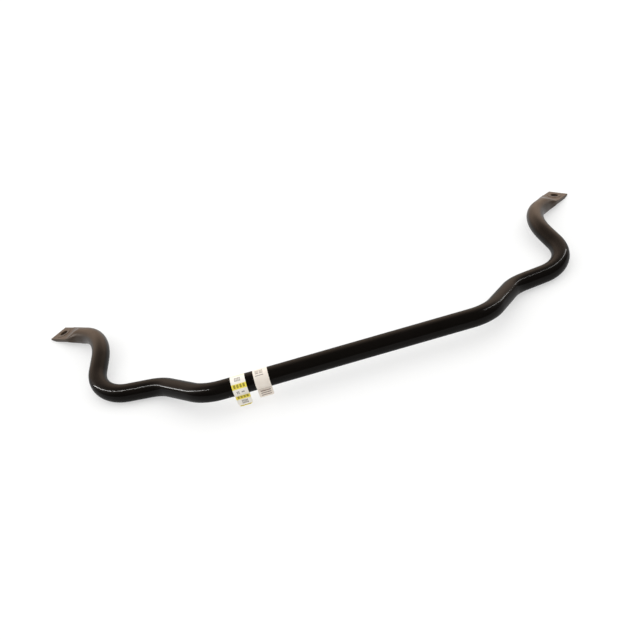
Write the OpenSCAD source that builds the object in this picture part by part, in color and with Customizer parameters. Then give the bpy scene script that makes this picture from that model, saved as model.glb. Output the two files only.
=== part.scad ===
// Front sway bar: one round spring-steel bar, bent in space and the same on both
// sides, with a forged flat eye at each end and two paper labels wrapped round it.
// X runs along the straight centre run, Y points from it towards the eyes, Z is up.
// The origin is the middle of the centre run, on its axis.

/* [Bar] */
// Diameter of the round bar
bar_d = 32; // [30:0.5:34]
// Half length of the centre run, up to the point where the first bend turns
centre_half = 240; // [230:1:250]
// Radius of the first bend, measured to the middle of the bar
centre_bend_r = 68; // [60:1:76]

/* [Joggle: where the bar has stepped back and turns outward again] */
// Distance out from the middle
joggle_x = 318; // [310:1:326]
// Distance back from the centre run
joggle_y = 84; // [76:1:92]
// Height over the centre run
joggle_z = -24; // [-28:1:-20]
// Radius of the bend
joggle_bend_r = 62; // [54:1:70]

/* [Shoulder: where the outboard run turns back into the arm] */
// Distance out from the middle
shoulder_x = 444; // [436:1:450]
// Distance back from the centre run
shoulder_y = 107; // [100:1:112]
// Height over the centre run
shoulder_z = -28; // [-32:1:-24]
// Radius of the bend
shoulder_bend_r = 69; // [60:1:74]

/* [Elbow: where the arm turns outward to the eye] */
// Distance out from the middle
elbow_x = 425; // [418:1:432]
// Distance back from the centre run
elbow_y = 261; // [255:1:268]
// Height over the centre run
elbow_z = -6; // [-12:1:0]
// Radius of the bend
elbow_bend_r = 110; // [96:1:116]

/* [Tip: the end of the bar, on its axis] */
// Distance out from the middle
tip_x = 541; // [535:1:548]
// Distance back from the centre run
tip_y = 369; // [362:1:376]
// Height over the centre run
tip_z = -43; // [-48:1:-38]

/* [Eye] */
// Width of the flat
eye_w = 40; // [36:0.5:44]
// Length of the flat along its outer edge
eye_outer_len = 54; // [50:1:58]
// Length of the flat along its inner edge
eye_inner_len = 34; // [30:1:46]
// Thickness of the flat
eye_t = 7.5; // [6:0.5:9]
// Height of the flat's upper face over the bar's axis
eye_rise = 5.5; // [4:0.5:8]
// Diameter of the hole
hole_d = 15; // [13:0.5:17]
// Distance from the end of the bar to the hole's centre
hole_in = 22; // [20:0.5:24]
// Length of the bevel under the end
bevel_len = 14; // [8:1:16]
// Height of the bevel under the end
bevel_h = 3.75; // [2:0.25:4]
// Length of the neck between the flat and the round bar
neck_len = 36; // [30:1:40]

/* [Labels] */
// Width of each label, along the bar
label_w = 24; // [20:0.5:26]
// Thickness of one layer of label
paper_t = 0.25; // [0.2:0.05:0.4]
// Distance of the yellow label's middle from the bar's middle
yellow_label_x = 182; // [178:1:188]
// How far the yellow label's tail stands off the bar
yellow_tail_len = 18.5; // [12:0.5:20]
// Distance of the white label's middle from the bar's middle
white_label_x = 144.5; // [140:0.5:148]
// How far the white label's tail stands off the bar
white_tail_len = 13.5; // [10:0.5:20]
// Angle of the tails, forward of straight down
tail_lean = 36; // [0:1:60]

/* [Hidden] */
$fn = 96;

bar_r = bar_d / 2;
middle = [0, 0, 0];
centre_end = [centre_half, 0, 0];
joggle = [joggle_x, joggle_y, joggle_z];
shoulder = [shoulder_x, shoulder_y, shoulder_z];
elbow = [elbow_x, elbow_y, elbow_z];
tip = [tip_x, tip_y, tip_z];

// Each straight runs this far into the bends at its ends, and the bends are
// this much fatter than the straights, so that every joint closes cleanly.
lap = 1;
swell = 0.05;

// The neck's flat end is this far inside the faces of the flat, and its round end
// is this much thinner than the bar, so that each blends in with a clean edge.
inset = 0.05;
neck_step = 0.5;
// Length of the neck's two ends, which lie inside the flat and inside the bar.
root_len = 1;
// Corner radius of a label's tail.
tail_corner_r = 2;

function unit(v) = v / norm(v);
function turn_at(a, c, b) = acos(unit(c - a) * unit(b - c));
function tangent_at(a, c, b, r) = r * tan(turn_at(a, c, b) / 2);

centre_cut = tangent_at(middle, centre_end, joggle, centre_bend_r);
joggle_cut = tangent_at(centre_end, joggle, shoulder, joggle_bend_r);
shoulder_cut = tangent_at(joggle, shoulder, elbow, shoulder_bend_r);
elbow_cut = tangent_at(shoulder, elbow, tip, elbow_bend_r);
neck_start = eye_outer_len + neck_len;

// Puts the children's X, Y and Z along three unit vectors, from a point.
module placed(x, y, z, at)
    multmatrix([
        [x[0], y[0], z[0], at[0]],
        [x[1], y[1], z[1], at[1]],
        [x[2], y[2], z[2], at[2]],
        [0, 0, 0, 1]
    ])
        children();

// Round bar from a to b, cut short at each end by the bend that follows it.
module straight(a, b, cut_a, cut_b) {
    z = unit(b - a);
    x = unit(cross([0, 0, 1], z));
    placed(x, cross(z, x), z, a + (cut_a - lap) * z)
        cylinder(r = bar_r, h = norm(b - a) - cut_a - cut_b + 2 * lap);
}

// Bend of radius r at the corner c, between a straight from a and one to b.
module bend(a, c, b, r) {
    along = unit(c - a);
    axis = unit(cross(along, b - c));
    outward = cross(along, axis);
    start = c - tangent_at(a, c, b, r) * along;
    placed(outward, along, axis, start - r * outward)
        rotate_extrude(angle = turn_at(a, c, b))
            translate([r, 0])
                circle(r = bar_r + swell);
}

// Frame of the eye: X along the bar and off its end, Y level, Z square to the flat.
module at_eye() {
    x = unit(tip - elbow);
    y = unit(cross([0, 0, 1], x));
    placed(x, y, cross(x, y), tip)
        children();
}

// Outline of the flat from above: its back edge is a diagonal crease.
module flat_outline()
    polygon([
        [0, -eye_w / 2],
        [0, eye_w / 2],
        [-eye_inner_len, eye_w / 2],
        [-eye_outer_len, -eye_w / 2]
    ]);

// Strip along the crease, where the end of the neck lies inside the flat.
module root_outline()
    polygon([
        [-eye_outer_len, inset - eye_w / 2],
        [-eye_inner_len, eye_w / 2 - inset],
        [root_len - eye_inner_len, eye_w / 2 - inset],
        [root_len - eye_outer_len, inset - eye_w / 2]
    ]);

// Solid blend from the round bar to the back edge of the flat.
module neck()
    hull() {
        translate([-neck_start - root_len, 0, 0])
            rotate([0, 90, 0])
                cylinder(r = bar_r - neck_step, h = root_len, $fn = 32);
        translate([0, 0, eye_rise - eye_t + inset])
            linear_extrude(eye_t - 2 * inset)
                root_outline();
    }

// Wedge that bevels the underside of the end.
module bevel()
    translate([0, eye_w, eye_rise - eye_t])
        rotate([90, 0, 0])
            linear_extrude(2 * eye_w)
                polygon([[-bevel_len, 0], [bevel_len, 2 * bevel_h], [bevel_len, -eye_t], [-bevel_len, -eye_t]]);

module eye()
    difference() {
        translate([0, 0, eye_rise - eye_t])
            linear_extrude(eye_t)
                flat_outline();
        bevel();
    }

module hole()
    translate([-hole_in, 0, -bar_d])
        cylinder(d = hole_d, h = 2 * bar_d);

module half_bar() {
    bend(middle, centre_end, joggle, centre_bend_r);
    straight(centre_end, joggle, centre_cut, joggle_cut);
    bend(centre_end, joggle, shoulder, joggle_bend_r);
    straight(joggle, shoulder, joggle_cut, shoulder_cut);
    bend(joggle, shoulder, elbow, shoulder_bend_r);
    straight(shoulder, elbow, shoulder_cut, elbow_cut);
    bend(shoulder, elbow, tip, elbow_bend_r);
    straight(elbow, tip, elbow_cut, neck_start + lap);
    at_eye()
        difference() {
            union() {
                neck();
                eye();
            }
            hole();
        }
}

module bar()
    color([0.11, 0.10, 0.09]) {
        straight(-centre_end, centre_end, centre_cut, centre_cut);
        half_bar();
        mirror([1, 0, 0])
            half_bar();
    }

// Paper wrapped round the bar at -x, its two ends stuck together as a tail.
module label(x, tail_len)
    translate([-x, 0, 0])
        rotate([-tail_lean, 0, 0]) {
            translate([-label_w / 2, 0, 0])
                rotate([0, 90, 0])
                    difference() {
                        cylinder(r = bar_r + paper_t, h = label_w);
                        translate([0, 0, -1])
                            cylinder(r = bar_r, h = label_w + 2);
                    }
            translate([0, paper_t, 0])
                rotate([90, 0, 0])
                    linear_extrude(2 * paper_t)
                        tail_outline(bar_r + paper_t / 2, bar_r + tail_len);
        }

// Tail seen flat: from near to far below the bar's axis, with round far corners.
module tail_outline(near, far) {
    translate([-label_w / 2, -far + tail_corner_r])
        square([label_w, far - near - tail_corner_r]);
    translate([tail_corner_r - label_w / 2, -far])
        square([label_w - 2 * tail_corner_r, tail_corner_r + 1]);
    for (side = [-1, 1])
        translate([side * (label_w / 2 - tail_corner_r), tail_corner_r - far])
            circle(r = tail_corner_r, $fn = 32);
}

module yellow_label()
    color([0.95, 0.90, 0.45])
        label(yellow_label_x, yellow_tail_len);

module white_label()
    color([0.93, 0.91, 0.87])
        label(white_label_x, white_tail_len);

bar();
yellow_label();
white_label();
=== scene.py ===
import math

import bmesh
import bpy
from mathutils import Matrix, Vector


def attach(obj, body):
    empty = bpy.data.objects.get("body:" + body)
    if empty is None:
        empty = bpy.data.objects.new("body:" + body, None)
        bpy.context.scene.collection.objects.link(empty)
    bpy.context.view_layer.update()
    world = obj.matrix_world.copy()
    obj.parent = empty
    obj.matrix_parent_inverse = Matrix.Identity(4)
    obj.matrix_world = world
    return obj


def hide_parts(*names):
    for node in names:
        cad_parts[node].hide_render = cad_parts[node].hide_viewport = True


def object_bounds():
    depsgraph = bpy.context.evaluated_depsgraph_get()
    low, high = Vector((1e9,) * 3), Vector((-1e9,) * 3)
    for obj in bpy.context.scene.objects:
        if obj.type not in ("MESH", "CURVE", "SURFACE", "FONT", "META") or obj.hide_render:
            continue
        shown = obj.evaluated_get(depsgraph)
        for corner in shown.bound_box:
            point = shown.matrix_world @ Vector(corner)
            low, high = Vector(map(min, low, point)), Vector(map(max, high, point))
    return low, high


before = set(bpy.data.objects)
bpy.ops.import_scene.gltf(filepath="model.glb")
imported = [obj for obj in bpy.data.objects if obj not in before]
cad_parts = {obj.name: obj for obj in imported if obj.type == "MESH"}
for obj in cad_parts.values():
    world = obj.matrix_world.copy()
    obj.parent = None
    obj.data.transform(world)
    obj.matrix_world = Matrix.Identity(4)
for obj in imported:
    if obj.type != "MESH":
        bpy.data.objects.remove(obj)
cad_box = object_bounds()

# ---------------------------------------------------------------------------
# Floor, light and camera
# A pale backlit studio floor and a far round wall under a wide soft ceiling light. The air glows
# softly at the back, and a narrow strip leans over each end and draws the thin line on the outer runs.
# ---------------------------------------------------------------------------
MM = 0.001
floor_size = 60.0
floor_z = cad_box[0].z
floor_glow = 0.5
wall_r = 28.0
wall_h = 14.0
wall_steps = 96
wall_glow = 0.8
# brightness of the air in front and at the back, and of the glow at each side
air_front = 0.15
air_back = 2.3
glow_left = 0.6
glow_right = 1.0


def linear(hex_colour):
    """An sRGB hex colour as linear red, green, blue and alpha."""
    parts = [int(hex_colour[i:i + 2], 16) / 255 for i in (1, 3, 5)]
    return tuple(c / 12.92 if c <= 0.04045 else ((c + 0.055) / 1.055) ** 2.4 for c in parts) + (1.0,)


def add(owner, kind, settings=None, **links):
    """Adds one node to a material or a world. settings are its properties. links are its inputs, by name
    or by number (in0, in1), with their values or the sockets that feed them."""
    node = owner.node_tree.nodes.new("ShaderNode" + kind)
    for key, value in (settings or {}).items():
        setattr(node, key, value)
    for key, value in links.items():
        numbered = key.startswith("in") and key[2:].isdigit()
        socket = node.inputs[int(key[2:]) if numbered else key.replace("_", " ")]
        if isinstance(value, bpy.types.NodeSocket):
            owner.node_tree.links.new(value, socket)
        else:
            socket.default_value = value
    return node


def new_material(name):
    """An empty node material with its output, and its Principled shader."""
    material = bpy.data.materials.new(name)
    material.use_nodes = True
    material.node_tree.nodes.clear()
    out = add(material, "OutputMaterial")
    shader = add(material, "BsdfPrincipled")
    material.node_tree.links.new(shader.outputs["BSDF"], out.inputs["Surface"])
    return material, shader


def object_from(name, vertices, faces, material):
    """A smooth-shaded mesh object in the scene, from points in metres."""
    mesh = bpy.data.meshes.new(name)
    mesh.from_pydata([tuple(v) for v in vertices], [], faces)
    mesh.materials.append(material)
    mesh.polygons.foreach_set("use_smooth", [True] * len(mesh.polygons))
    piece = bpy.data.objects.new(name, mesh)
    bpy.context.scene.collection.objects.link(piece)
    return piece


def backlit_matt_acrylic(name, glow):
    # Matt white acrylic lit from behind: pale, without gloss, faintly mottled, and shadows on it stay light.
    material, shader = new_material(name)
    place = add(material, "TexCoord")
    mottle = add(material, "TexNoise", Vector=place.outputs["Object"], Scale=1 / (400 * MM), Detail=2.0)
    tone = add(material, "Mix", {"data_type": "RGBA"}, Factor=mottle.outputs["Fac"],
               in6=linear("#b3b3b2"), in7=linear("#b9b9b8"))
    material.node_tree.links.new(tone.outputs[2], shader.inputs["Base Color"])
    shader.inputs["Emission Color"].default_value = linear("#ffffff")
    shader.inputs["Emission Strength"].default_value = glow
    shader.inputs["Roughness"].default_value = 0.9
    shader.inputs["Specular IOR Level"].default_value = 0.0
    return material


half = floor_size / 2
floor = object_from(
    "studio_floor",
    [(-half, -half, floor_z), (half, -half, floor_z), (half, half, floor_z), (-half, half, floor_z)],
    [(0, 1, 2, 3)], backlit_matt_acrylic("backlit_matt_acrylic_floor", floor_glow))

# The wall shows behind the bar in low views only, and takes no part in its light.
wall_turns = [2 * math.pi * i / wall_steps for i in range(wall_steps)]
wall_foot = [(wall_r * math.cos(turn), wall_r * math.sin(turn)) for turn in wall_turns]
wall = object_from(
    "studio_wall", [(x, y, z) for z in (floor_z, floor_z + wall_h) for x, y in wall_foot],
    [(i, (i + 1) % wall_steps, wall_steps + (i + 1) % wall_steps, wall_steps + i) for i in range(wall_steps)],
    backlit_matt_acrylic("backlit_matt_acrylic_wall", wall_glow))
wall.visible_glossy = False
wall.visible_diffuse = False
wall.visible_shadow = False


def studio_air():
    """Dim warm air for the coat to reflect, brighter at the back, with a wide low glow at each side of it."""
    world = bpy.data.worlds.new("studio_air")
    world.use_nodes = True
    place = add(world, "TexCoord")

    def brightness(towards, start, end, low, high):
        """Rises from low to high as the direction turns towards one direction."""
        turned = add(world, "VectorMath", {"operation": "DOT_PRODUCT"},
                     in0=place.outputs["Generated"], in1=Vector(towards).normalized())
        rise = add(world, "MapRange", {"interpolation_type": "SMOOTHSTEP"}, Value=turned.outputs["Value"],
                   From_Min=start, From_Max=end, To_Min=low, To_Max=high)
        return rise.outputs["Result"]

    back = add(world, "Math", {"operation": "MULTIPLY"},
               in0=brightness((0, 1, 0), 0.1, 0.9, air_front, air_back),
               in1=brightness((0, 0, 1), 0.0, 0.5, 0.35, 1.0))
    sides = add(world, "Math", {"operation": "ADD"},
                in0=brightness((0.55, 0.8, 0.15), 0.75, 1.0, 0.0, glow_right),
                in1=brightness((-0.55, 0.8, 0.15), 0.75, 1.0, 0.0, glow_left))
    whole = add(world, "Math", {"operation": "ADD"}, in0=back.outputs["Value"], in1=sides.outputs["Value"])
    background = world.node_tree.nodes["Background"]
    background.inputs["Color"].default_value = linear("#ffe4cd")
    world.node_tree.links.new(whole.outputs["Value"], background.inputs["Strength"])
    bpy.context.scene.world = world
    world.cycles_visibility.diffuse = False


def lamp_at(name, kind, at, towards):
    """A lamp at a point, in metres, that faces another point and is itself out of the picture."""
    lamp = bpy.data.lights.new(name, kind)
    holder = bpy.data.objects.new(name, lamp)
    holder.location = at
    holder.rotation_euler = (Vector(at) - Vector(towards)).to_track_quat("Z", "Y").to_euler()
    holder.visible_camera = False
    bpy.context.scene.collection.objects.link(holder)
    return lamp, holder


def strip_light(name, low, high, width, glow):
    """A long narrow lamp from a low point to a high one, which faces the bar. Its size doesn't change its
    brightness, which glow sets."""
    low, high = Vector(low), Vector(high)
    middle = (low + high) / 2
    along = (high - low).normalized()
    lamp, holder = lamp_at(name, "AREA", middle, (0, 0, 0))
    lamp.shape = "RECTANGLE"
    lamp.size, lamp.size_y = width, (high - low).length
    lamp.energy = glow * math.pi * width * lamp.size_y
    out = middle - along * middle.dot(along)
    across = along.cross(out.normalized())
    holder.rotation_euler = Matrix((across, along, out.normalized())).transposed().to_euler()
    holder.visible_diffuse = False


studio_air()
bpy.context.scene.view_settings.view_transform = "Standard"

# The ceiling is one wide even light, which the gloss doesn't show. The strips show in the gloss only.
ceiling, ceiling_holder = lamp_at("ceiling", "SUN", (0.0, 0.5, 3.0), (0.0, 0.0, 0.0))
ceiling.energy = 3.9
ceiling.angle = math.radians(150)
ceiling_holder.visible_glossy = False
strip_light("left_strip", (-1.72, 0.62, 0.31), (-0.97, -0.26, 1.35), 0.05, 130)
strip_light("right_strip", (1.67, 0.73, 0.31), (1.16, -0.02, 1.33), 0.05, 45)

# The camera stands in front, a little left of the middle, looks down on the bar and is
# rolled, so that the bar rises to the right.
camera_at = (-0.0711, -0.8688, 0.7104)
camera_heading = math.radians(-2.67)
camera_dip = math.radians(35.93)
camera_roll = math.radians(-14.33)
lens = bpy.data.cameras.new("camera")
lens.sensor_width = 36.0
lens.lens = 38.94
camera = bpy.data.objects.new("camera", lens)
camera.matrix_world = (
    Matrix.Translation(camera_at)
    @ Matrix.Rotation(camera_heading, 4, "Z")
    @ Matrix.Rotation(math.pi / 2 - camera_dip, 4, "X")
    @ Matrix.Rotation(camera_roll, 4, "Z"))
bpy.context.scene.collection.objects.link(camera)
bpy.context.scene.camera = camera

# ---------------------------------------------------------------------------
# Bar
# One round bar of spring steel, bent in space, its ends forged flat and pierced for the end links.
# It is shot blasted, then dipped in black epoxy and baked: glossy over the middle, and duller towards
# the ends, where the coat is thin. Its colour turns brown towards the ends: a painted warm reflection.
# ---------------------------------------------------------------------------
bar_r = 16.0
# Corners of the bar's axis from the middle to the right tip, and the bend at each.
corners = [Vector(p) for p in (
    (0, 0, 0), (240, 0, 0), (318, 84, -24), (444, 107, -28), (425, 261, -6), (541, 369, -43))]
bend_radii = (68, 62, 69, 110)
tip = corners[-1]

# The flat: its lengths along the two edges, between them the distance from the tip to the middle of the
# crease, and its faces' heights over the bar's axis.
eye_half_w = 20.0
eye_outer_len = 54.0
eye_inner_len = 34.0
crease_in = (eye_outer_len + eye_inner_len) / 2
eye_top = 4.9
eye_under = -2.0
edge_r = 0.6
# The bevel under its end, the neck behind it, and the lip that the forging left at the crease.
bevel_len = 14.0
bevel_h = 3.75
neck_len = 36.0
lip_h = 1.0
# The hole and the seat turned round it.
hole_r = 7.5
hole_in = 22.0
hole_steps = 72
seat_r = 14.6
seat_rise = 0.6

# Points round the bar, and spacing of the rings along it.
around = 96
straight_step = 5.0
bend_step = 2.2
neck_rings = 44
lip_rings = 4
flat_rings = 40


def route():
    """Points and directions along the bar's axis, from the middle to where the neck starts."""
    stations = []

    def run(a, b, step):
        count = max(1, round((b - a).length / step))
        for i in range(count):
            stations.append((a.lerp(b, i / count), (b - a).normalized()))

    here = corners[0]
    for before, corner, after, radius in zip(corners, corners[1:], corners[2:], bend_radii):
        along, leaving = (corner - before).normalized(), (after - corner).normalized()
        turn = along.angle(leaving)
        start = corner - along * radius * math.tan(turn / 2)
        run(here, start, straight_step)
        axis = along.cross(leaving).normalized()
        outward = along.cross(axis)
        middle = start - outward * radius
        count = max(8, round(radius * turn / bend_step))
        for i in range(count):
            swing = Matrix.Rotation(turn * i / count, 3, axis)
            stations.append((middle + swing @ outward * radius, swing @ along))
        here = corner + leaving * radius * math.tan(turn / 2)
    neck_start = tip - (tip - corners[-2]).normalized() * (eye_outer_len + neck_len)
    run(here, neck_start, straight_step)
    return stations


def level_frame(direction):
    """Level and upright directions square to the bar."""
    level = Vector((0, 0, 1)).cross(direction).normalized()
    return level, direction.cross(level)


def ease(t):
    """A smooth rise from 0 to 1."""
    return t * t * (3 - 2 * t)


def rounded_section(half_w, half_h, corner):
    """Points round a rectangle with round corners: as many on each side, and at least 3 on half an arc."""
    side = around // 4
    points = []
    for quarter in range(4):
        wide, high = (half_h, half_w) if quarter % 2 == 0 else (half_w, half_h)
        spin = Matrix.Rotation(quarter * math.pi / 2, 2)
        arc = corner * math.pi / 4
        on_arc = max(3, side / 2 * arc / (arc + wide - corner))
        for i in range(side):
            # one side, seen as standing at the right, from its lower to its upper corner
            if i < on_arc:
                angle = math.pi / 4 * (i / on_arc - 1)
                centre = corner - wide
            elif i > side - on_arc:
                angle = math.pi / 4 * (i - side + on_arc) / on_arc
                centre = wide - corner
            else:
                angle = 0.0
                centre = (wide - corner) * (2 * (i - on_arc) / max(1e-6, side - 2 * on_arc) - 1)
            points.append(spin @ Vector((
                high - corner + corner * math.cos(angle), centre + corner * math.sin(angle))))
    return points


def eye_section(along):
    """One section of the neck or the flat, in the eye's frame: x off the end of the bar, y level, z upright.
    along is 0 where the neck leaves the round bar, 1 at the crease and 2 at the tip."""
    if along <= 1:
        lean = ease(along)
        place = -(eye_outer_len + neck_len) + along * (neck_len + (eye_outer_len - eye_inner_len) / 2)
        top = eye_top + lip_h + (bar_r - eye_top - lip_h) * (1 - ease(along))
        under = eye_under + (-bar_r - eye_under) * (1 - (along + ease(along)) / 2)
        half_w = bar_r + (eye_half_w - bar_r) * ease(along)
        roundness = 1 - along ** 2.2
    else:
        share = along - 1
        lean = 1 - ease(min(1, share * 1.05))
        place = -crease_in * (1 - share)
        past_crease = share * crease_in
        top = eye_top + lip_h * (1 - ease(min(1, past_crease / lip_h)))
        under = eye_under
        half_w = eye_half_w
        roundness = 0.0
    slope = lean * (eye_outer_len - eye_inner_len) / (2 * eye_half_w)
    half_h = (top - under) / 2
    corner = edge_r + (half_h - edge_r) * roundness
    points = []
    for p in rounded_section(half_w, half_h, corner):
        level, high = p.x, p.y + (top + under) / 2
        x = place + slope * level
        if x > -bevel_len and high < eye_top - edge_r:
            lift = bevel_h * (x + bevel_len) / bevel_len
            high += lift * (eye_top - high) / (eye_top - eye_under)
        points.append(Vector((x, level, high)))
    return points


def bar_mesh():
    """The whole bar: rings from the middle to the right tip, and their mirror images to the left tip."""
    rings = []
    for at, direction in route():
        level, upright = level_frame(direction)
        angles = [2 * math.pi * i / around - math.pi / 4 for i in range(around)]
        rings.append([at + level * bar_r * math.cos(a) + upright * bar_r * math.sin(a) for a in angles])
    direction = (tip - corners[-2]).normalized()
    level, upright = level_frame(direction)

    def at_eye(p):
        return tip + direction * p.x + level * p.y + upright * p.z

    lip_share = lip_h / crease_in
    shares = [i / neck_rings for i in range(neck_rings + 1)]
    shares += [1 + lip_share * i / lip_rings for i in range(1, lip_rings + 1)]
    shares += [1 + lip_share + (1 - lip_share) * i / flat_rings for i in range(1, flat_rings + 1)]
    for share in shares:
        rings.append([at_eye(p) for p in eye_section(share)])
    # the end: its edge is rounded by three shrinking rings, and a flat face closes it
    end = eye_section(2.0)
    middle = sum(p.z for p in end) / around
    rings.pop()
    for back, inset in ((0.3 * edge_r, 0.0), (0.08 * edge_r, 0.35), (0.0, 0.9)):
        narrower = 1 - inset / eye_half_w
        thinner = 1 - inset / 2.2
        rings.append([
            at_eye(Vector((p.x - back, p.y * narrower, middle + (p.z - middle) * thinner))) for p in end])

    vertices = [p for ring in rings for p in ring]
    half_count = len(vertices)
    vertices += [Vector((-p.x, p.y, p.z)) for p in vertices]

    def index(ring, i, mirrored):
        # both halves share the middle ring
        return (half_count if mirrored and ring > 0 else 0) + ring * around + i % around

    faces = []
    for mirrored, order in ((False, 1), (True, -1)):
        for ring in range(len(rings) - 1):
            for i in range(around):
                faces.append([
                    index(ring, i, mirrored), index(ring, i + 1, mirrored),
                    index(ring + 1, i + 1, mirrored), index(ring + 1, i, mirrored)][::order])
        faces.append([index(len(rings) - 1, i, mirrored) for i in range(around)][::order])
    return [v * MM for v in vertices], faces


def pierce(bm, side):
    """Opens one flat and fills it with rings turned on the hole's axis: the seat, the hole, its lower lip."""
    direction = (tip - corners[-2]).normalized()
    level, upright = level_frame(direction)
    centre = tip - direction * hole_in
    seat = eye_top + seat_rise
    lower_lip_r = hole_r + 0.5

    def placed(point):
        return Vector((side * point.x, point.y, point.z)) * MM

    axis = placed(upright).normalized()
    foot = placed(centre)
    rims = []
    for towards, radius in ((1, seat_r + 0.4), (-1, lower_lip_r + 0.3)):
        doomed = [
            face for face in bm.faces
            if face.normal.dot(axis) * towards > 0.9
            and any(((v.co - foot) - axis * axis.dot(v.co - foot)).length < radius * MM for v in face.verts)]
        inside = set(doomed)
        rims.append([e for face in doomed for e in face.edges if any(f not in inside for f in e.link_faces)])
        bmesh.ops.delete(bm, geom=doomed, context="FACES")

    # radius and height of each ring, from the seat's foot down through the hole
    profile = (
        (seat_r, eye_top), (seat_r - 0.5, seat), (hole_r + 0.9, seat), (hole_r + 0.3, seat - 0.25),
        (hole_r, seat - 0.8), (hole_r, eye_under + 0.5), (lower_lip_r, eye_under))
    rings = []
    for radius, height in profile:
        ring = []
        for i in range(hole_steps):
            turn = 2 * math.pi * i / hole_steps
            spoke = direction * math.cos(turn) + level * math.sin(turn)
            ring.append(bm.verts.new(placed(centre + spoke * radius + upright * height)))
        rings.append(ring)
    for upper, lower in zip(rings, rings[1:]):
        for i in range(hole_steps):
            j = (i + 1) % hole_steps
            bm.faces.new((upper[i], upper[j], lower[j], lower[i]))
    for ring, rim, towards in ((rings[0], rims[0], 1), (rings[-1], rims[1], -1)):
        edges = [bm.edges.get((ring[i], ring[(i + 1) % hole_steps])) for i in range(hole_steps)]
        bmesh.ops.triangle_fill(bm, use_beauty=True, edges=edges + rim, normal=axis * towards)


def black_epoxy_dip_coat():
    # Black epoxy, dipped and baked: dark, with a broad soft warm sheen over a grain left by the shot. Its
    # glossy skin fades out towards the ends, which are more matt. There the colour turns brown: a painted
    # warm reflection on the necks and flats.
    material, shader = new_material("black_epoxy_dip_coat")
    # The clouds are some 30 mm across. The shot's grain is under 1 mm, but is drawn 1.6 mm wide to show.
    place = add(material, "TexCoord")
    cloud = add(material, "TexNoise", Vector=place.outputs["Object"], Scale=1 / (30 * MM), Detail=3.0)
    shot = add(material, "TexNoise", Vector=place.outputs["Object"], Scale=1 / (1.6 * MM), Detail=2.0)
    black = add(material, "Mix", {"data_type": "RGBA"}, Factor=cloud.outputs["Fac"],
                in6=linear("#080706"), in7=linear("#0e0c0b"))
    split = add(material, "SeparateXYZ", Vector=place.outputs["Object"])

    def outward(start, end, at_start, at_end):
        """A value that eases from one to another between two distances back from the centre run."""
        return add(material, "MapRange", {"interpolation_type": "SMOOTHSTEP"}, Value=split.outputs["Y"],
                   From_Min=start * MM, From_Max=end * MM, To_Min=at_start, To_Max=at_end).outputs["Result"]

    # Towards the ends the base colour turns brown: a painted warm reflection on the necks and flats.
    tone = add(material, "Mix", {"data_type": "RGBA"}, Factor=outward(200, 340, 0.0, 1.0),
               in6=black.outputs[2], in7=linear("#352a21"))
    gloss = add(material, "MapRange", Value=cloud.outputs["Fac"], From_Min=0.3, From_Max=0.7,
                To_Min=0.34, To_Max=0.42)
    grain = add(material, "Bump", Height=shot.outputs["Fac"], Strength=0.12, Distance=0.25 * MM)
    links = material.node_tree.links
    links.new(tone.outputs[2], shader.inputs["Base Color"])
    links.new(gloss.outputs["Result"], shader.inputs["Roughness"])
    links.new(grain.outputs["Normal"], shader.inputs["Normal"])
    links.new(outward(120, 330, 0.02, 0.15), shader.inputs["Specular IOR Level"])
    links.new(outward(240, 310, 0.13, 0.0), shader.inputs["Coat Weight"])
    shader.inputs["Specular Tint"].default_value = linear("#ffe7cf")
    shader.inputs["Coat Roughness"].default_value = 0.08
    return material


steel_bar = object_from("steel_bar", *bar_mesh(), black_epoxy_dip_coat())
bm = bmesh.new()
bm.from_mesh(steel_bar.data)
bmesh.ops.remove_doubles(bm, verts=bm.verts, dist=1e-6)
bmesh.ops.recalc_face_normals(bm, faces=bm.faces)
for side in (1, -1):
    pierce(bm, side)
bmesh.ops.recalc_face_normals(bm, faces=bm.faces)
bm.to_mesh(steel_bar.data)
bm.free()
steel_bar.data.polygons.foreach_set("use_smooth", [True] * len(steel_bar.data.polygons))
steel_bar.data.set_sharp_from_angle(angle=math.radians(28))
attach(steel_bar, "root")
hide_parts("bar")

# ---------------------------------------------------------------------------
# Yellow label
# A strip of coated paper in white and yellow bands, wrapped once round the bar to the left of
# its middle. Its two ends are stuck back to back and hang off as a tail, forward of straight down.
# ---------------------------------------------------------------------------
label_w = 24.0
paper_t = 0.12
wrap_r = 16.1
# The strip's two ends meet at this distance from the bar's axis, this far forward of straight down.
tail_start = 17.5
tail_lean = math.radians(36)
yellow_label_x = 182.0
yellow_tail_end = 34.5
ink_edge = 0.12


tail_down = Vector((0, -math.sin(tail_lean), -math.cos(tail_lean)))
tail_forward = Vector((0, -math.cos(tail_lean), math.sin(tail_lean)))


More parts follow.
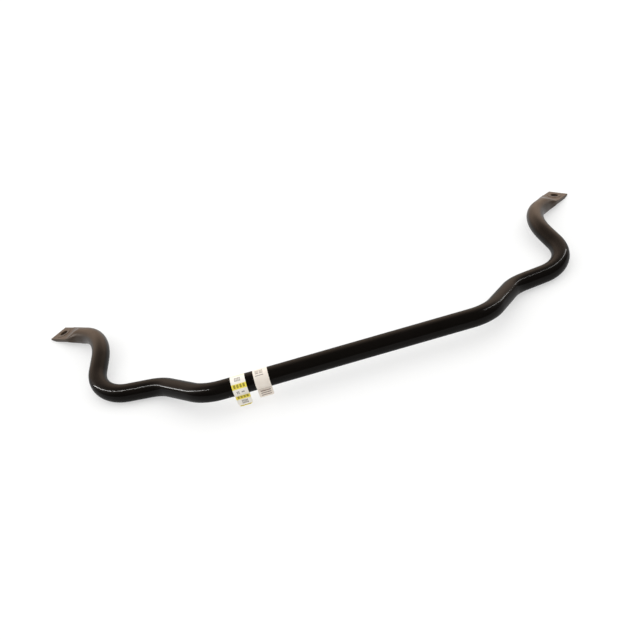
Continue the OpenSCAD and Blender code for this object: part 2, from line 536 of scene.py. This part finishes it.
def strip_path(tail_end):
    """The strip's way up the tail's front, round the bar and down the tail's back, and its length. A station
    is a distance along the strip, a point, an outward direction and a share of the tail."""
    tail_len = tail_end - tail_start
    lift_off = math.acos(wrap_r / tail_start)
    slant = math.sqrt(tail_start ** 2 - wrap_r ** 2)

    def round_bar(angle):
        """Outward direction at an angle from the tail's, over the front and the top."""
        return tail_down * math.cos(angle) + tail_forward * math.sin(angle)

    stations = []
    tail_steps, slant_steps, wrap_steps = 20, 5, 160
    for i in range(tail_steps):
        share = 1 - i / tail_steps
        point = tail_down * (tail_start + tail_len * share)
        stations.append((tail_len * (1 - share), point, tail_forward, share))
    for i in range(slant_steps):
        t = i / slant_steps
        touch = round_bar(lift_off)
        point = (tail_down * tail_start).lerp(touch * wrap_r, t)
        stations.append((tail_len + slant * t, point, tail_forward.lerp(touch, t).normalized(), 0.0))
    turn = 2 * math.pi - 2 * lift_off
    for i in range(wrap_steps + 1):
        out = round_bar(lift_off + turn * i / wrap_steps)
        stations.append((tail_len + slant + wrap_r * turn * i / wrap_steps, out * wrap_r, out, 0.0))
    length = 2 * (tail_len + slant) + wrap_r * turn
    for along, point, out, share in reversed(stations[:tail_steps + slant_steps]):
        flipped = point - 2 * tail_forward * point.dot(tail_forward)
        stations.append((length - along, flipped, out - 2 * tail_forward * out.dot(tail_forward), share))
    return stations, length


def wrapped_paper(name, x, tail_end, material, corner_r, curl, drift):
    """A label at -x. corner_r rounds the tail's corners. Its end bends forward by curl, and slides along the
    bar by drift."""
    stations, length = strip_path(tail_end)
    # places across the strip, closer together near its edges, where its corners are round
    near_edge = [0.0, 0.3, 0.8, 1.5, 2.4]
    columns = near_edge + [3.5 + i * (label_w - 7) / 8 for i in range(9)]
    columns += [label_w - c for c in near_edge[::-1]]
    vertices, places = [], []
    for face_side in (0.5, -0.5):
        for along, point, out, share in stations:
            for across in columns:
                # the ends are cut with round corners: their rows bend back near the sides
                near = min(across, label_w - across, corner_r)
                cut_back = corner_r - math.sqrt(corner_r ** 2 - (corner_r - near) ** 2)
                from_end = min(along, length - along)
                shift = 0.98 * cut_back * max(0.0, 1 - from_end / (1.6 * corner_r))
                p = point - tail_down * shift if share > 0 else point.copy()
                p += out * (face_side * paper_t)
                # the tail curls along its length, bows across it, and its two layers lie just apart
                bow = math.sin(math.pi * across / label_w)
                p += tail_forward * (share ** 2 * curl + share * 0.5 * bow)
                if share > 0:
                    p += (tail_forward if along < length / 2 else -tail_forward) * paper_t * 0.55
                vertices.append((Vector((across - label_w / 2 - x + share * drift, 0, 0)) + p) * MM)
                places.append((across, along + (shift if along < length / 2 else -shift)))
    wide, long = len(columns), len(stations)
    faces = []
    for side_start, order in ((0, 1), (wide * long, -1)):
        for row in range(long - 1):
            for column in range(wide - 1):
                a = side_start + row * wide + column
                faces.append([a, a + 1, a + wide + 1, a + wide][::order])
    outline = list(range(wide))
    outline += [row * wide + wide - 1 for row in range(1, long)]
    outline += [(long - 1) * wide + column for column in range(wide - 2, -1, -1)]
    outline += [row * wide for row in range(long - 2, 0, -1)]
    for a, b in zip(outline, outline[1:] + outline[:1]):
        faces.append([a, a + wide * long, b + wide * long, b])
    piece = object_from(name, vertices, faces, material)
    print_map = piece.data.uv_layers.new(name="print")
    for loop in piece.data.loops:
        print_map.data[loop.index].uv = places[loop.vertex_index]
    bm = bmesh.new()
    bm.from_mesh(piece.data)
    bmesh.ops.recalc_face_normals(bm, faces=bm.faces)
    bm.to_mesh(piece.data)
    bm.free()
    piece.data.set_sharp_from_angle(angle=math.radians(40))
    return piece


def printed_paper(name, ground, bands, blocks):
    """Coated paper with print. A band is (from, to, colour) across the whole strip. A block is (left, right,
    from, to, mark length, mark height, gap, ink): rows of plain bars, unevenly inked. Lengths are in mm."""
    # Thin coated paper: a soft even sheen, a faint fibre grain and slightly uneven whiteness. The fibres are
    # drawn over half a millimetre long, coarser than real ones, so that they show.
    material, shader = new_material(name)
    place = add(material, "UVMap", {"uv_map": "print"})
    split = add(material, "SeparateXYZ", Vector=place.outputs["UV"])
    fibre = add(material, "TexNoise", Vector=place.outputs["UV"], Scale=1.6, Detail=4.0)
    clouds = add(material, "TexNoise", Vector=place.outputs["UV"], Scale=0.12, Detail=1.0)
    wear = add(material, "TexNoise", Vector=place.outputs["UV"], Scale=0.9, Detail=2.0)
    worn = add(material, "MapRange", Value=wear.outputs["Fac"], From_Min=0.3, From_Max=0.6, To_Min=0.6)
    paper = add(material, "Mix", {"data_type": "RGBA"}, Factor=clouds.outputs["Fac"],
                in6=linear(ground[0]), in7=linear(ground[1]))
    colour = paper.outputs[2]

    def between(value, low, high):
        """1 from low to high, 0 outside, with an edge as soft as ink's."""
        rise = add(material, "MapRange", Value=value, From_Min=low - ink_edge, From_Max=low + ink_edge)
        fall = add(material, "MapRange", Value=value, From_Min=high - ink_edge, From_Max=high + ink_edge,
                   To_Min=1.0, To_Max=0.0)
        both = add(material, "Math", {"operation": "MULTIPLY"},
                   in0=rise.outputs["Result"], in1=fall.outputs["Result"])
        return both.outputs["Value"]

    for low, high, ink in bands:
        colour = add(material, "Mix", {"data_type": "RGBA"}, Factor=between(split.outputs["Y"], low, high),
                     in6=colour, in7=linear(ink)).outputs[2]
    for left, right, low, high, mark_len, mark_h, gap, ink in blocks:
        start = add(material, "Mapping", Vector=place.outputs["UV"], Location=(-left, -low, 0.0))
        marks = add(material, "TexBrick", {"offset": 0.0}, Vector=start.outputs["Vector"], Scale=1.0,
                    Brick_Width=mark_len + gap, Row_Height=mark_h + gap,
                    Mortar_Size=gap / 2, Mortar_Smooth=0.3, Mortar=(0.0, 0.0, 0.0, 1.0),
                    Color1=(0.75, 0.75, 0.75, 1.0), Color2=(1.0, 1.0, 1.0, 1.0))
        box = add(material, "Math", {"operation": "MULTIPLY"},
                  in0=between(split.outputs["X"], left, right), in1=between(split.outputs["Y"], low, high))
        inked = add(material, "Math", {"operation": "MULTIPLY"},
                    in0=marks.outputs["Color"], in1=worn.outputs["Result"])
        mask = add(material, "Math", {"operation": "MULTIPLY"},
                   in0=inked.outputs["Value"], in1=box.outputs["Value"])
        colour = add(material, "Mix", {"data_type": "RGBA"}, Factor=mask.outputs["Value"],
                     in6=colour, in7=linear(ink)).outputs[2]
    grain = add(material, "Bump", Height=fibre.outputs["Fac"], Strength=0.2, Distance=0.03 * MM)
    gloss = add(material, "MapRange", Value=fibre.outputs["Fac"], To_Min=0.42, To_Max=0.58)
    links = material.node_tree.links
    links.new(colour, shader.inputs["Base Color"])
    links.new(grain.outputs["Normal"], shader.inputs["Normal"])
    links.new(gloss.outputs["Result"], shader.inputs["Roughness"])
    return material


yellow = "#efdc4f"
olive = "#55480a"
grey = "#3f3c38"
yellow_print = printed_paper(
    "coated_paper_printed_yellow", ("#e9e3d8", "#f3eee5"),
    bands=[(-1.0, 1.8, yellow), (11.5, 17.2, yellow), (37.3, 45.9, yellow), (62.5, 63.7, "#eedf7c")],
    blocks=[
        (3.0, 20.5, 0.2, 1.6, 2.6, 1.2, 0.9, olive),
        (7.5, 18.0, 3.6, 10.0, 1.5, 2.6, 0.6, grey),
        (2.0, 22.0, 12.3, 16.6, 3.1, 4.2, 1.9, olive),
        (5.0, 10.0, 26.5, 33.7, 1.8, 2.9, 0.7, "#35322e"),
        (13.0, 18.0, 28.8, 32.0, 4.8, 3.0, 0.4, "#24211d"),
        (1.8, 22.2, 38.4, 45.0, 3.1, 6.4, 2.0, olive),
        (6.5, 16.5, 49.7, 57.7, 1.8, 3.3, 0.7, "#55524d")])
yellow_label = wrapped_paper("yellow_paper_label", yellow_label_x, yellow_tail_end, yellow_print,
                             corner_r=5.0, curl=-0.9, drift=1.4)
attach(yellow_label, "root")
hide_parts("yellow_label")

# ---------------------------------------------------------------------------
# White label
# A second strip of the same paper, nearly plain, wrapped in the same way next to the yellow one.
# Its tail is shorter and bears rows of fine brown print. A dark line across the strip, in the fold between
# the tail and the bar, is painted shade.
# ---------------------------------------------------------------------------
white_label_x = 144.5
white_tail_end = 29.5

white_print_and_fold_shade = printed_paper(
    "coated_paper_printed_white_with_fold_shade", ("#e4dacd", "#ede4d9"), bands=[],
    blocks=[
        (3.0, 21.0, 1.4, 12.6, 16.6, 1.3, 2.0, "#5f4136"),
        # This dark line lies in the fold where the strip leaves the bar for its tail: painted shade, not
        # print.
        (2.0, 22.4, 15.2, 16.8, 9.8, 1.2, 0.4, "#453e38"),
        (2.5, 16.5, 43.8, 45.4, 14.0, 1.6, 0.5, "#4b4640"),
        (3.0, 16.6, 47.6, 56.0, 5.6, 1.6, 1.2, "#5b554e")])
white_label = wrapped_paper("white_paper_label", white_label_x, white_tail_end, white_print_and_fold_shade,
                            corner_r=2.0, curl=-0.5, drift=0.6)
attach(white_label, "root")
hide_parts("white_label")
